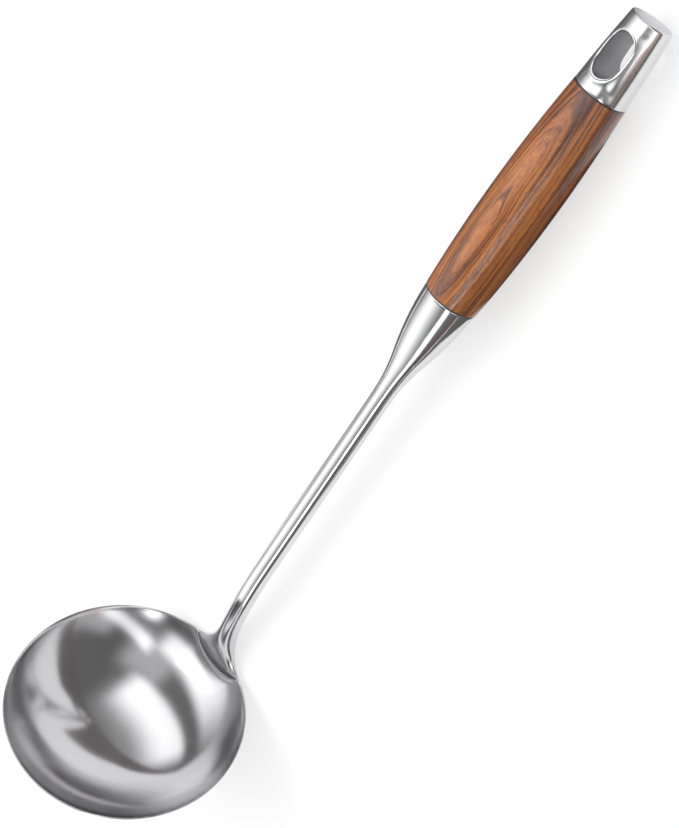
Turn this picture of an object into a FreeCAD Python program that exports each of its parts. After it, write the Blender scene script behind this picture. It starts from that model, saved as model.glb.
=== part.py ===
import FreeCAD, Part
import math
import os
import Sketcher

# Wok ladle: a round steel bowl on a long bent rod that swells into a bell, a turned wooden grip,
# and a steel end cap with a slot to hang it by. A threaded stud inside the grip ties them together.
#
# The ladle's own frame has its origin at the middle of the bowl's rim, the rim lying flat, the
# opening facing up (+Z) and the handle rising towards +X. Every piece then gets the placement
# that lays the ladle down as it comes to rest on a table, which is the part's frame: the handle
# points along +X, nearly level, and the bowl opens towards it.

# Sizes that can be set by themselves, in millimetres and degrees.
SIZES = {
    # Bowl: the outside of the rim, the depth below the rim's plane and the wall.
    "rim_radius": 50,
    "bowl_depth": 29,
    "bowl_wall": 1.2,
    "rim_rounding": 0.5,
    # Line of the rod seen from the side. Leans are degrees up from the rim's plane.
    "handle_lean": 60.7,
    "bell_bend": 3.5,
    "neck_bend": 21.5,
    "neck_bend_radius": 147,
    "neck_inset": 2.2,
    "shaft_run": 96,
    "shaft_radius": 4.15,
    # Neck: the rod widens into a tongue that runs into the bowl's wall. Heights are above the rim.
    "neck_height": 20,
    "high_height": 13,
    "high_width": 10,
    "middle_height": 7.6,
    "middle_width": 13.5,
    "low_height": 3.6,
    "low_width": 19,
    "tongue_rim_width": 27,
    "tongue_edge": 1.1,
    # Foot of the tongue, in the thickness of the wall.
    "foot_drop": 3,
    "foot_width": 18,
    "root_width": 9,
    "root_thick": 0.8,
    "root_angle": 8,
    # Bell: from the shaft up to the wood, a crown arc and a throat arc.
    "bell_length": 50,
    "bell_radius": 11.05,
    "bell_draft": 2.2,
    "bell_crown_radius": 140,
    "bell_crown_length": 30,
    # Wooden grip, measured up from the bell.
    "grip_length": 94,
    "grip_start_radius": 11.15,
    "grip_belly_radius": 12.7,
    "grip_belly_height": 44,
    "grip_end_radius": 10.75,
    "joint_chamfer": 0.3,
    # End cap and its hanging slot.
    "cap_length": 30.6,
    "cap_base_radius": 10.65,
    "cap_middle_radius": 9.72,
    "cap_tip_radius": 8.4,
    "cap_rounding": 0.8,
    "slot_width": 10.6,
    "slot_length": 17.6,
    "slot_from_tip": 6.8,
    "slot_lip": 1.4,
    # Stud: screwed into the bell and the cap, with clearance in the wood.
    "stud_radius": 2.5,
    "stud_in_bell": 16,
    "stud_in_cap": 4.6,
    "stud_end_gap": 0.4,
    "thread_clearance": 0.02,
    "wood_clearance": 0.25,
    "stud_chamfer": 0.5,
}

# Sizes that follow from them.
DERIVED = {
    "edge_radius": "=rim_radius + rim_rounding * (rim_radius / bowl_depth - 1)",
    "bowl_radius": "=(edge_radius ^ 2 + bowl_depth ^ 2) / (2 * bowl_depth)",
    "bowl_centre_height": "=bowl_radius - bowl_depth",
    "wall_middle_radius": "=bowl_radius - bowl_wall / 2",
    "rim_angle": "=acos(bowl_centre_height / wall_middle_radius) / 1deg",
    "shaft_lean": "=handle_lean + bell_bend",
    "neck_lean": "=shaft_lean + neck_bend",
    "tapped_radius": "=stud_radius + thread_clearance",
    "grip_bore_radius": "=stud_radius + wood_clearance",
    # Corners of the rod's line, worked out from the rim upwards.
    "root_x": "=rim_radius - neck_inset",
    "shaft_x": "=root_x + neck_bend_radius * (sin(neck_lean * 1deg) - sin(shaft_lean * 1deg))",
    "shaft_z": "=neck_bend_radius * (cos(shaft_lean * 1deg) - cos(neck_lean * 1deg))",
    "bell_x": "=shaft_x + shaft_run * cos(shaft_lean * 1deg)",
    "bell_z": "=shaft_z + shaft_run * sin(shaft_lean * 1deg)",
    "bell_bend_radius": "=bell_length / bell_bend * 180 / pi",
    "joint_x": "=bell_x + bell_bend_radius * (sin(shaft_lean * 1deg) - sin(handle_lean * 1deg))",
    "joint_z": "=bell_z + bell_bend_radius * (cos(handle_lean * 1deg) - cos(shaft_lean * 1deg))",
    "cap_x": "=joint_x + grip_length * cos(handle_lean * 1deg)",
    "cap_z": "=joint_z + grip_length * sin(handle_lean * 1deg)",
    # Bulges of the tongue: towards the bowl, then away from it.
    "high_inner": "=0.97 * shaft_radius",
    "high_outer": "=0.97 * shaft_radius",
    "middle_inner": "=0.87 * shaft_radius",
    "middle_outer": "=0.87 * shaft_radius",
    "low_inner": "=0.75 * shaft_radius",
    "low_outer": "=0.7 * shaft_radius",
    "rim_inner": "=0.62 * shaft_radius",
    "rim_outer": "=0.52 * shaft_radius",
    "foot_inner": "=0.5 * shaft_radius",
    "foot_outer": "=0.05 * shaft_radius",
    "root_bulge": "=root_thick / 2",
    # The tongue's edges stand back towards the bowl by as much as the wall does there.
    "rim_back": "=tongue_rim_width ^ 2 / 8 / rim_radius - neck_inset + bowl_wall / 2",
    "foot_back": "=foot_width ^ 2 / 8 / rim_radius",
    "root_back": "=root_width ^ 2 / 8 / rim_radius",
    # Throat of the bell: an arc tangent to the crown's end and to the shaft.
    "crown_end_radius": (
        "=bell_radius - bell_crown_length * tan(bell_draft * 1deg) - bell_crown_radius"
        " + sqrt(bell_crown_radius ^ 2 - bell_crown_length ^ 2)"
    ),
    "throat_length": "=bell_length - bell_crown_length",
    "throat_drop": "=crown_end_radius - shaft_radius",
    "throat_radius": "=(throat_length ^ 2 + throat_drop ^ 2) / (2 * throat_drop)",
    # Crowned side of the grip: the circle through its start, belly and end, in radius and height.
    "belly_rise": "=grip_belly_radius - grip_start_radius",
    "end_rise": "=grip_end_radius - grip_start_radius",
    "belly_square": "=grip_belly_radius ^ 2 - grip_start_radius ^ 2 + grip_belly_height ^ 2",
    "end_square": "=grip_end_radius ^ 2 - grip_start_radius ^ 2 + grip_length ^ 2",
    "crown_share": "=2 * (belly_rise * grip_length - end_rise * grip_belly_height)",
    "crown_radius": "=(belly_square * grip_length - end_square * grip_belly_height) / crown_share",
    "crown_height": "=(belly_rise * end_square - end_rise * belly_square) / crown_share",
    "crown_size": "=sqrt((grip_start_radius - crown_radius) ^ 2 + crown_height ^ 2)",
    # How the ladle lies on the table: it turns about Y until the heel, which is the rim's rounded
    # edge below the neck, and the belly of the grip both touch the table. The shift puts the origin
    # on the table, midway between the bowl's end and the cap's end.
    "heel_x": "=rim_radius - rim_rounding",
    "heel_z": "=-rim_rounding",
    "crown_x": "=joint_x + crown_height * cos(handle_lean * 1deg) + crown_radius * sin(handle_lean * 1deg)",
    "crown_z": "=joint_z + crown_height * sin(handle_lean * 1deg) - crown_radius * cos(handle_lean * 1deg)",
    "crown_reach": "=sqrt((crown_x - heel_x) ^ 2 + (crown_z - heel_z) ^ 2)",
    "crown_slope": "=90 + atan((heel_x - crown_x) / (crown_z - heel_z)) / 1deg",
    "lay_turn": "=crown_slope - asin((crown_size - rim_rounding) / crown_reach) / 1deg",
    "lay_z": "=heel_x * sin(lay_turn * 1deg) - heel_z * cos(lay_turn * 1deg) + rim_rounding",
    "tip_x": "=cap_x + cap_length * cos(handle_lean * 1deg)",
    "tip_z": "=cap_z + cap_length * sin(handle_lean * 1deg)",
    "tip_end": "=tip_x * cos(lay_turn * 1deg) + tip_z * sin(lay_turn * 1deg)",
    "bowl_end": "=bowl_centre_height * sin(lay_turn * 1deg) - bowl_radius",
    "lay_x": "=-(bowl_end + tip_end) / 2",
}

doc = FreeCAD.newDocument("wok_ladle")
sheet = doc.addObject("Spreadsheet::Sheet", "dims")
for row, (alias, content) in enumerate({**SIZES, **DERIVED}.items(), 1):
    sheet.set(f"A{row}", alias)
    sheet.set(f"B{row}", str(content))
    sheet.setAlias(f"B{row}", alias)
doc.recompute()


def dim(alias):
    """Read a value from the sheet as a plain number."""
    return float(sheet.get(alias))


LAY = "placement(vector(dims.lay_x * 1mm; 0mm; dims.lay_z * 1mm); rotation(vector(0; 1; 0); dims.lay_turn))"


def square_to(x, z, lean):
    """Formula of the plane at a point of the rod's line that the line pierces square on."""
    return f"placement(vector({x} * 1mm; 0mm; {z} * 1mm); rotation(vector(0; 1; 0); 90 - {lean}))"


def on_neck(run):
    """Plane at a length along the neck's arc, measured from the rim's plane."""
    lean = f"(dims.neck_lean - {run} / dims.neck_bend_radius * 180 / pi)"
    x = f"(dims.root_x + dims.neck_bend_radius * (sin(dims.neck_lean * 1deg) - sin({lean} * 1deg)))"
    z = f"(dims.neck_bend_radius * (cos({lean} * 1deg) - cos(dims.neck_lean * 1deg)))"
    return square_to(x, z, lean)


def on_wall(angle):
    """Plane across the bowl's wall, an angle below the rim."""
    lean = f"(dims.rim_angle - {angle})"
    x = f"(dims.wall_middle_radius * sin({lean} * 1deg))"
    z = f"(dims.bowl_centre_height - dims.wall_middle_radius * cos({lean} * 1deg))"
    return square_to(x, z, lean)


def on_bell(drop):
    """Plane at a length down the bell, measured from the wood."""
    lean = f"(dims.handle_lean + dims.bell_bend * {drop} / dims.bell_length)"
    x = f"(dims.joint_x - dims.bell_bend_radius * (sin({lean} * 1deg) - sin(dims.handle_lean * 1deg)))"
    z = f"(dims.joint_z - dims.bell_bend_radius * (cos(dims.handle_lean * 1deg) - cos({lean} * 1deg)))"
    return square_to(x, z, lean)


def new_body(label):
    body = doc.addObject("PartDesign::Body", label)
    body.Label = label
    return body


def new_sketch(body, name, role, placement=None):
    """Sketch on one of the body's own origin planes, moved by a placement formula if given."""
    sketch = body.newObject("Sketcher::SketchObject", name)
    plane = [feature for feature in body.Origin.OriginFeatures if feature.Role == role][0]
    sketch.AttachmentSupport = [(plane, "")]
    sketch.MapMode = "FlatFace"
    if placement:
        sketch.setExpression("AttachmentOffset", placement)
    return sketch


def bind(sketch, kind, where, name, formula):
    """Add a sized constraint at the value that its formula has, and tie it to the formula."""
    start = float(sketch.evalExpression(formula))
    index = sketch.addConstraint(Sketcher.Constraint(kind, *where, start))
    sketch.renameConstraint(index, name)
    sketch.setExpression("Constraints." + name, formula)


def join(sketch, *pairs):
    """Make pairs of points coincide; each point is a geometry's index and 1, 2 or 3."""
    for first, second in pairs:
        sketch.addConstraint(Sketcher.Constraint("Coincident", *first, *second))


def chain(sketch, *edges):
    """Join each edge's second end to the next edge's first end, and the last to the first."""
    for edge, following in zip(edges, edges[1:] + edges[:1]):
        join(sketch, ((edge, 2), (following, 1)))


def on_axis(sketch, axis, *points):
    """Put points on the sketch's horizontal (-1) or vertical (-2) axis."""
    for point in points:
        sketch.addConstraint(Sketcher.Constraint("PointOnObject", *point, axis))


def round_section(body, name, placement, radius):
    """Round section of the bell."""
    sketch = new_sketch(body, name, "XY_Plane", placement)
    size = float(sketch.evalExpression(radius))
    circle = sketch.addGeometry(Part.Circle(ORIGIN, UP, size))
    join(sketch, ((circle, 3), (-1, 1)))
    bind(sketch, "Radius", (circle,), "section_radius", radius)
    return sketch


def rod_section(body, name, placement, radius):
    """Round section in four arcs, two of them as short as the edges of the tongue below."""
    sketch = new_sketch(body, name, "XY_Plane", placement)
    edge_angle = math.degrees(math.asin(dim("tongue_edge") / 2 / dim(radius)))
    corners = -90 + edge_angle, 90 - edge_angle, 90 + edge_angle, 270 - edge_angle, 270 + edge_angle
    circle = Part.Circle(ORIGIN, UP, dim(radius))
    arcs = []
    for low, high in zip(corners, corners[1:]):
        arc = Part.ArcOfCircle(circle, math.radians(low), math.radians(high))
        arcs.append(sketch.addGeometry(arc))
    chain(sketch, *arcs)
    join(sketch, ((arcs[0], 3), (-1, 1)))
    for arc in arcs[1:]:
        join(sketch, ((arc, 3), (arcs[0], 3)))
    bind(sketch, "Radius", (arcs[0],), "section_radius", "dims." + radius)
    half_edge = "dims.tongue_edge / 2"
    bind(sketch, "DistanceX", (-1, 1, arcs[0], 1), "low_outer", half_edge)
    bind(sketch, "DistanceX", (-1, 1, arcs[0], 2), "high_outer", half_edge)
    bind(sketch, "DistanceX", (arcs[2], 1, -1, 1), "high_inner", half_edge)
    bind(sketch, "DistanceX", (arcs[2], 2, -1, 1), "low_inner", half_edge)
    return sketch


def tongue_section(body, name, placement, width, inner, outer, back, edge="dims.tongue_edge"):
    """Section of the neck: an arc on the bowl's side, an arc on the far side and two short edges."""
    sketch = new_sketch(body, name, "XY_Plane", placement)
    across = float(sketch.evalExpression(width)) / 2
    inward = float(sketch.evalExpression(inner))
    outward = float(sketch.evalExpression(outer))
    half_edge = float(sketch.evalExpression(edge)) / 2
    set_back = float(sketch.evalExpression(back))
    inner_x = -set_back - half_edge
    outer_x = -set_back + half_edge
    high_inner = FreeCAD.Vector(inner_x, across, 0)
    low_inner = FreeCAD.Vector(inner_x, -across, 0)
    high_outer = FreeCAD.Vector(outer_x, across, 0)
    low_outer = FreeCAD.Vector(outer_x, -across, 0)
    inner_middle = FreeCAD.Vector(-inward, 0, 0)
    outer_middle = FreeCAD.Vector(outward, 0, 0)
    far_side = sketch.addGeometry(Part.Arc(low_outer, outer_middle, high_outer))
    high_edge = sketch.addGeometry(Part.LineSegment(high_outer, high_inner))
    bowl_side = sketch.addGeometry(Part.Arc(high_inner, inner_middle, low_inner))
    low_edge = sketch.addGeometry(Part.LineSegment(low_inner, low_outer))
    inner_point = sketch.addGeometry(Part.Point(inner_middle), True)
    outer_point = sketch.addGeometry(Part.Point(outer_middle), True)
    for arc, start in ((far_side, low_outer), (bowl_side, high_inner)):
        first = 1 if sketch.getPoint(arc, 1).isEqual(start, 1e-6) else 2
        before = low_edge if arc == far_side else high_edge
        after = high_edge if arc == far_side else low_edge
        join(sketch, ((before, 2), (arc, first)), ((arc, 3 - first), (after, 1)))
    on_axis(sketch, -1, (inner_point, 1), (outer_point, 1))
    sketch.addConstraint(Sketcher.Constraint("PointOnObject", inner_point, 1, bowl_side))
    sketch.addConstraint(Sketcher.Constraint("PointOnObject", outer_point, 1, far_side))
    sketch.addConstraint(Sketcher.Constraint("Symmetric", high_edge, 2, low_edge, 1, -1))
    sketch.addConstraint(Sketcher.Constraint("Symmetric", high_edge, 1, low_edge, 2, -1))
    sketch.addConstraint(Sketcher.Constraint("Horizontal", high_edge))
    bind(sketch, "DistanceX", (inner_point, 1, -1, 1), "inner_side", inner)
    bind(sketch, "DistanceX", (-1, 1, outer_point, 1), "outer_side", outer)
    bind(sketch, "DistanceY", (-1, 1, high_edge, 1), "half_width", f"({width}) / 2")
    bind(sketch, "DistanceX", (high_edge, 2, high_edge, 1), "edge_thick", edge)
    bind(sketch, "DistanceX", (high_edge, 1, outer_point, 1), "corner_place", f"{outer} + {back} - {edge} / 2")
    return sketch


def feature(body, kind, name, **settings):
    """Add a feature to a body and set it up."""
    made = body.newObject("PartDesign::" + kind, name)
    for setting, content in settings.items():
        setattr(made, setting, content)
    doc.recompute()
    return made


def circles_at(shape, height, *radii):
    """Names of a shape's circular edges about its Z axis at a height, one for each radius."""
    names = []
    for number, edge in enumerate(shape.Edges, 1):
        if edge.Degenerated or not isinstance(edge.Curve, Part.Circle):
            continue
        level = abs(edge.Curve.Center.z - height) < 1e-4
        if level and any(abs(edge.Curve.Radius - radius) < 1e-4 for radius in radii):
            names.append(f"Edge{number}")
    return names


ORIGIN = FreeCAD.Vector(0, 0, 0)
UP = FreeCAD.Vector(0, 0, 1)
BELL_STEPS = 7

# Ladle body: bowl, neck, rod and bell are one piece of steel.
ladle = new_body("ladle_body")
ladle.setExpression("Placement", LAY)

# The bowl is a spherical shell, turned about its own axis, with a rounded rim.
bowl_profile = new_sketch(ladle, "bowl_profile", "XZ_Plane")
bowl_centre = FreeCAD.Vector(0, dim("bowl_centre_height"), 0)


def wall_arc(radius):
    """Arc from the bowl's lowest point up to the rim's plane."""
    rim_end = -math.asin(dim("bowl_centre_height") / radius)
    return Part.ArcOfCircle(Part.Circle(bowl_centre, UP, radius), -math.pi / 2, rim_end)


outer_wall = bowl_profile.addGeometry(wall_arc(dim("bowl_radius")))
inner_wall = bowl_profile.addGeometry(wall_arc(dim("bowl_radius") - dim("bowl_wall")))
wall_points = [bowl_profile.getPoint(wall, end) for end in (1, 2) for wall in (outer_wall, inner_wall)]
floor_line = bowl_profile.addGeometry(Part.LineSegment(wall_points[0], wall_points[1]))
rim_line = bowl_profile.addGeometry(Part.LineSegment(wall_points[2], wall_points[3]))
join(
    bowl_profile,
    ((floor_line, 1), (outer_wall, 1)),
    ((floor_line, 2), (inner_wall, 1)),
    ((rim_line, 1), (outer_wall, 2)),
    ((rim_line, 2), (inner_wall, 2)),
    ((inner_wall, 3), (outer_wall, 3)),
)
on_axis(bowl_profile, -1, (rim_line, 1), (rim_line, 2))
on_axis(bowl_profile, -2, (floor_line, 1), (floor_line, 2), (outer_wall, 3))
bind(bowl_profile, "DistanceY", (-1, 1, outer_wall, 3), "centre_height", "dims.bowl_centre_height")
bind(bowl_profile, "Radius", (outer_wall,), "outer_radius", "dims.bowl_radius")
bind(bowl_profile, "Radius", (inner_wall,), "inner_radius", "dims.bowl_radius - dims.bowl_wall")
bowl = feature(ladle, "Revolution", "bowl", Profile=bowl_profile,
               ReferenceAxis=(bowl_profile, ["V_Axis"]), Angle=360)
inner_rim_radius = math.sqrt((dim("bowl_radius") - dim("bowl_wall")) ** 2 - dim("bowl_centre_height") ** 2)
rim_edges = circles_at(bowl.Shape, 0, dim("edge_radius"), inner_rim_radius)
rim = feature(ladle, "Fillet", "rim", Base=(bowl, rim_edges))
rim.setExpression("Radius", "dims.rim_rounding")

# The neck is a tongue that grows out of the bowl's wall and gathers itself into the round rod.
# Widths and bulges are the real ones at each height; the tongue's edge is as thick as the wall.
neck_top = rod_section(ladle, "neck_top", on_neck("dims.neck_height"), "shaft_radius")
neck_sections = []
for level, height, width, back in (
    ("high", "dims.high_height", "dims.high_width", "0"),
    ("middle", "dims.middle_height", "dims.middle_width", "0"),
    ("low", "dims.low_height", "dims.low_width", "0"),
    ("rim", "0", "dims.tongue_rim_width", "dims.rim_back"),
):
    bulges = f"dims.{level}_inner", f"dims.{level}_outer"
    neck_sections.append(tongue_section(ladle, "neck_" + level, on_neck(height), width, *bulges, back))
tongue_foot = tongue_section(
    ladle,
    "tongue_foot",
    on_neck("(-dims.foot_drop)"),
    "dims.foot_width",
    "dims.foot_inner",
    "dims.foot_outer",
    "dims.foot_back",
)
tongue_root = tongue_section(
    ladle,
    "tongue_root",
    on_wall("dims.root_angle"),
    "dims.root_width",
    "dims.root_bulge",
    "dims.root_bulge",
    "dims.root_back",
    "dims.root_thick",
)
neck_sections += [tongue_foot, tongue_root]
neck = feature(ladle, "AdditiveLoft", "neck", Profile=neck_top, Sections=neck_sections)

# The rod follows the rest of the neck's arc and then runs straight to the bell.
rod_line = new_sketch(ladle, "rod_line", "XZ_Plane")


def line_point(lean):
    """Point of the neck's arc where the line has a lean in degrees."""
    rise, root = math.radians(lean), math.radians(dim("neck_lean"))
    x = dim("root_x") + dim("neck_bend_radius") * (math.sin(root) - math.sin(rise))
    return FreeCAD.Vector(x, dim("neck_bend_radius") * (math.cos(rise) - math.cos(root)), 0)


top_lean = dim("neck_lean") - math.degrees(dim("neck_height") / dim("neck_bend_radius"))
arc_start = line_point(top_lean)
arc_end = line_point(dim("shaft_lean"))
bell_end = FreeCAD.Vector(dim("bell_x"), dim("bell_z"), 0)
rod_arc = rod_line.addGeometry(Part.Arc(arc_start, line_point((top_lean + dim("shaft_lean")) / 2), arc_end))
rod_run = rod_line.addGeometry(Part.LineSegment(arc_end, bell_end))
first = 1 if rod_line.getPoint(rod_arc, 1).isEqual(arc_start, 1e-6) else 2
rod_line.addConstraint(Sketcher.Constraint("Tangent", rod_arc, 3 - first, rod_run, 1))
top_turn = "(dims.neck_lean * 1deg - dims.neck_height / dims.neck_bend_radius * 180 / pi * 1deg)"
start_x = f"dims.root_x + dims.neck_bend_radius * (sin(dims.neck_lean * 1deg) - sin({top_turn}))"
start_z = f"dims.neck_bend_radius * (cos({top_turn}) - cos(dims.neck_lean * 1deg))"
bind(rod_line, "DistanceX", (-1, 1, rod_arc, first), "start_x", start_x)
bind(rod_line, "DistanceY", (-1, 1, rod_arc, first), "start_z", start_z)
bind(rod_line, "DistanceX", (-1, 1, rod_run, 1), "corner_x", "dims.shaft_x")
bind(rod_line, "DistanceY", (-1, 1, rod_run, 1), "corner_z", "dims.shaft_z")
bind(rod_line, "DistanceX", (-1, 1, rod_run, 2), "end_x", "dims.bell_x")
bind(rod_line, "DistanceY", (-1, 1, rod_run, 2), "end_z", "dims.bell_z")
rod = feature(ladle, "AdditivePipe", "rod", Profile=neck_top, Spine=(rod_line, []))

# The bell is drawn through round sections: a long crown arc, then a throat arc down to the rod.
bell_sections = []
for step in range(BELL_STEPS + 1):
    drop = f"({step} / {BELL_STEPS} * dims.bell_length)"
    crown = (
        f"dims.bell_radius - {drop} * tan(dims.bell_draft * 1deg) - dims.bell_crown_radius"
        f" + sqrt(abs(dims.bell_crown_radius ^ 2 - {drop} ^ 2))"
    )
    throat = (
        "dims.shaft_radius + dims.throat_radius"
        f" - sqrt(abs(dims.throat_radius ^ 2 - (dims.bell_length - {drop}) ^ 2))"
    )
    radius = f"{drop} < dims.bell_crown_length ? {crown} : {throat}"
    bell_sections.append(round_section(ladle, f"bell_{step}", on_bell(drop), radius))
bell = feature(ladle, "AdditiveLoft", "bell", Profile=bell_sections[0], Sections=bell_sections[1:])

# A tapped hole in the bell takes the stud.
hole_place = square_to("dims.joint_x", "dims.joint_z", "dims.handle_lean")
hole_sketch = round_section(ladle, "stud_hole_mouth", hole_place, "dims.tapped_radius")
stud_hole = feature(ladle, "Pocket", "stud_hole", Profile=hole_sketch, Type=0)
stud_hole.setExpression("Length", "dims.stud_in_bell + dims.stud_end_gap")

# The pieces of the handle stand on the joint with the bell, with their Z axis along the handle.


def handle_place(x, z):
    return LAY + " * " + square_to(x, z, "dims.handle_lean")


def turned_profile(body, name, length, start, middle, middle_height, end, bore=None):
    """Half section of a turned piece: flat ends, one crowned arc outside and a bore if it has one."""
    sketch = new_sketch(body, name, "XZ_Plane")
    long, height = (float(sketch.evalExpression(formula)) for formula in (length, middle_height))
    start_r, middle_r, end_r = (float(sketch.evalExpression(formula)) for formula in (start, middle, end))
    hollow = float(sketch.evalExpression(bore)) if bore else 0
    points = (hollow, 0), (start_r, 0), (end_r, long), (hollow, long)
    corners = [FreeCAD.Vector(*point, 0) for point in points]
    crown_point = FreeCAD.Vector(middle_r, height, 0)
    base = sketch.addGeometry(Part.LineSegment(corners[0], corners[1]))
    crown = sketch.addGeometry(Part.Arc(corners[1], crown_point, corners[2]))
    top = sketch.addGeometry(Part.LineSegment(corners[2], corners[3]))
    wall = sketch.addGeometry(Part.LineSegment(corners[3], corners[0]))
    mark = sketch.addGeometry(Part.Point(crown_point), True)
    chain(sketch, base, crown, top, wall)
    on_axis(sketch, -1, (base, 1), (base, 2))
    sketch.addConstraint(Sketcher.Constraint("Horizontal", top))
    sketch.addConstraint(Sketcher.Constraint("Vertical", wall))
    sketch.addConstraint(Sketcher.Constraint("PointOnObject", mark, 1, crown))
    if bore:
        bind(sketch, "DistanceX", (-1, 1, base, 1), "bore_radius", bore)
    else:
        on_axis(sketch, -2, (base, 1))
    bind(sketch, "DistanceX", (-1, 1, base, 2), "start_radius", start)
    bind(sketch, "DistanceX", (-1, 1, top, 1), "end_radius", end)
    bind(sketch, "DistanceY", (-1, 1, top, 1), "length", length)
    bind(sketch, "DistanceX", (-1, 1, mark, 1), "middle_radius", middle)
    bind(sketch, "DistanceY", (-1, 1, mark, 1), "middle_height", middle_height)
    return sketch


# Wooden grip, bored through for the stud.
grip = new_body("wood_grip")
grip.setExpression("Placement", handle_place("dims.joint_x", "dims.joint_z"))
grip_profile = turned_profile(
    grip,
    "grip_profile",
    "dims.grip_length",
    "dims.grip_start_radius",
    "dims.grip_belly_radius",
    "dims.grip_belly_height",
    "dims.grip_end_radius",
    "dims.grip_bore_radius",
)
grip_turned = feature(grip, "Revolution", "grip_turned", Profile=grip_profile,
                      ReferenceAxis=(grip_profile, ["V_Axis"]), Angle=360)
grip_ends = circles_at(grip_turned.Shape, 0, dim("grip_start_radius"))
grip_ends += circles_at(grip_turned.Shape, dim("grip_length"), dim("grip_end_radius"))
grip_chamfer = feature(grip, "Chamfer", "grip_chamfer", Base=(grip_turned, grip_ends))
grip_chamfer.setExpression("Size", "dims.joint_chamfer")

# End cap: a turned steel plug, slotted through in the ladle's plane of symmetry.
cap = new_body("end_cap")
cap.setExpression("Placement", handle_place("dims.cap_x", "dims.cap_z"))
cap_profile = turned_profile(
    cap,
    "cap_profile",
    "dims.cap_length",
    "dims.cap_base_radius",
    "dims.cap_middle_radius",
    "dims.cap_length / 2",
    "dims.cap_tip_radius",
)
cap_turned = feature(cap, "Revolution", "cap_turned", Profile=cap_profile,
                     ReferenceAxis=(cap_profile, ["V_Axis"]), Angle=360)
cap_start = circles_at(cap_turned.Shape, 0, dim("cap_base_radius"))
cap_chamfer = feature(cap, "Chamfer", "cap_chamfer", Base=(cap_turned, cap_start))
cap_chamfer.setExpression("Size", "dims.joint_chamfer")
doc.recompute()
cap_end = circles_at(cap_chamfer.Shape, dim("cap_length"), dim("cap_tip_radius"))
cap_rounded = feature(cap, "Fillet", "cap_rounded", Base=(cap_chamfer, cap_end))
cap_rounded.setExpression("Radius", "dims.cap_rounding")

# The hanging slot has round ends, runs right through and has a soft lip on both faces.
slot_sketch = new_sketch(cap, "slot_outline", "YZ_Plane")
half_slot = dim("slot_width") / 2
slot_high = dim("cap_length") - dim("slot_from_tip") - half_slot
slot_low = dim("cap_length") - dim("slot_from_tip") - dim("slot_length") + half_slot
high_circle = Part.Circle(FreeCAD.Vector(0, slot_high, 0), UP, half_slot)
low_circle = Part.Circle(FreeCAD.Vector(0, slot_low, 0), UP, half_slot)
high_end = slot_sketch.addGeometry(Part.ArcOfCircle(high_circle, 0, math.pi))
left_side = slot_sketch.addGeometry(
    Part.LineSegment(FreeCAD.Vector(-half_slot, slot_high, 0), FreeCAD.Vector(-half_slot, slot_low, 0))
)
low_end = slot_sketch.addGeometry(Part.ArcOfCircle(low_circle, math.pi, 2 * math.pi))
right_side = slot_sketch.addGeometry(
    Part.LineSegment(FreeCAD.Vector(half_slot, slot_low, 0), FreeCAD.Vector(half_slot, slot_high, 0))
)
around = high_end, left_side, low_end, right_side
for edge, following in zip(around, around[1:] + around[:1]):
    slot_sketch.addConstraint(Sketcher.Constraint("Tangent", edge, 2, following, 1))
on_axis(slot_sketch, -2, (high_end, 3), (low_end, 3))
bind(slot_sketch, "Radius", (high_end,), "end_radius", "dims.slot_width / 2")
slot_top = "dims.cap_length - dims.slot_from_tip - dims.slot_width / 2"
bind(slot_sketch, "DistanceY", (-1, 1, high_end, 3), "top_height", slot_top)
bind(slot_sketch, "DistanceY", (low_end, 3, high_end, 3), "centres", "dims.slot_length - dims.slot_width")
slot = feature(cap, "Pocket", "hanging_slot", Profile=slot_sketch, Type=1, Midplane=True)


def runs_round_slot(edge):
    """Whether an edge is part of one of the slot's two mouths."""
    if isinstance(edge.Curve, Part.Line):
        return False
    middle = edge.valueAt((edge.FirstParameter + edge.LastParameter) / 2)
    within_width = round(abs(middle.y) - half_slot, 3) <= 0
    within_length = round(slot_low - half_slot - middle.z, 3) <= 0 <= round(slot_high + half_slot - middle.z, 3)
    return within_width and within_length


lip_edges = [
    f"Edge{number}"
    for number, edge in enumerate(slot.Shape.Edges, 1)
    if not edge.Degenerated and runs_round_slot(edge)
]
lip = feature(cap, "Fillet", "slot_lip", Base=(slot, lip_edges))
lip.setExpression("Radius", "dims.slot_lip")
doc.recompute()

# Tapped hole for the stud in the cap's base.
cap_hole_sketch = round_section(cap, "cap_hole_mouth", None, "dims.tapped_radius")
cap_hole = feature(cap, "Pocket", "cap_hole", Profile=cap_hole_sketch, Type=0, Reversed=True)
cap_hole.setExpression("Length", "dims.stud_in_cap + dims.stud_end_gap")

# Stud: a plain round rod with chamfered ends, inside the handle.
stud = new_body("tang_stud")
stud.setExpression("Placement", handle_place("dims.joint_x", "dims.joint_z"))
stud_place = "placement(vector(0mm; 0mm; -dims.stud_in_bell * 1mm); rotation(vector(0; 0; 1); 0))"
stud_sketch = round_section(stud, "stud_end", stud_place, "dims.stud_radius")
stud_rod = feature(stud, "Pad", "stud_rod", Profile=stud_sketch, Type=0)
stud_rod.setExpression("Length", "dims.stud_in_bell + dims.grip_length + dims.stud_in_cap")
doc.recompute()
stud_ends = circles_at(stud_rod.Shape, -dim("stud_in_bell"), dim("stud_radius"))
stud_ends += circles_at(stud_rod.Shape, dim("grip_length") + dim("stud_in_cap"), dim("stud_radius"))
stud_chamfer = feature(stud, "Chamfer", "stud_chamfer", Base=(stud_rod, stud_ends))
stud_chamfer.setExpression("Size", "dims.stud_chamfer")
doc.recompute()

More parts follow.
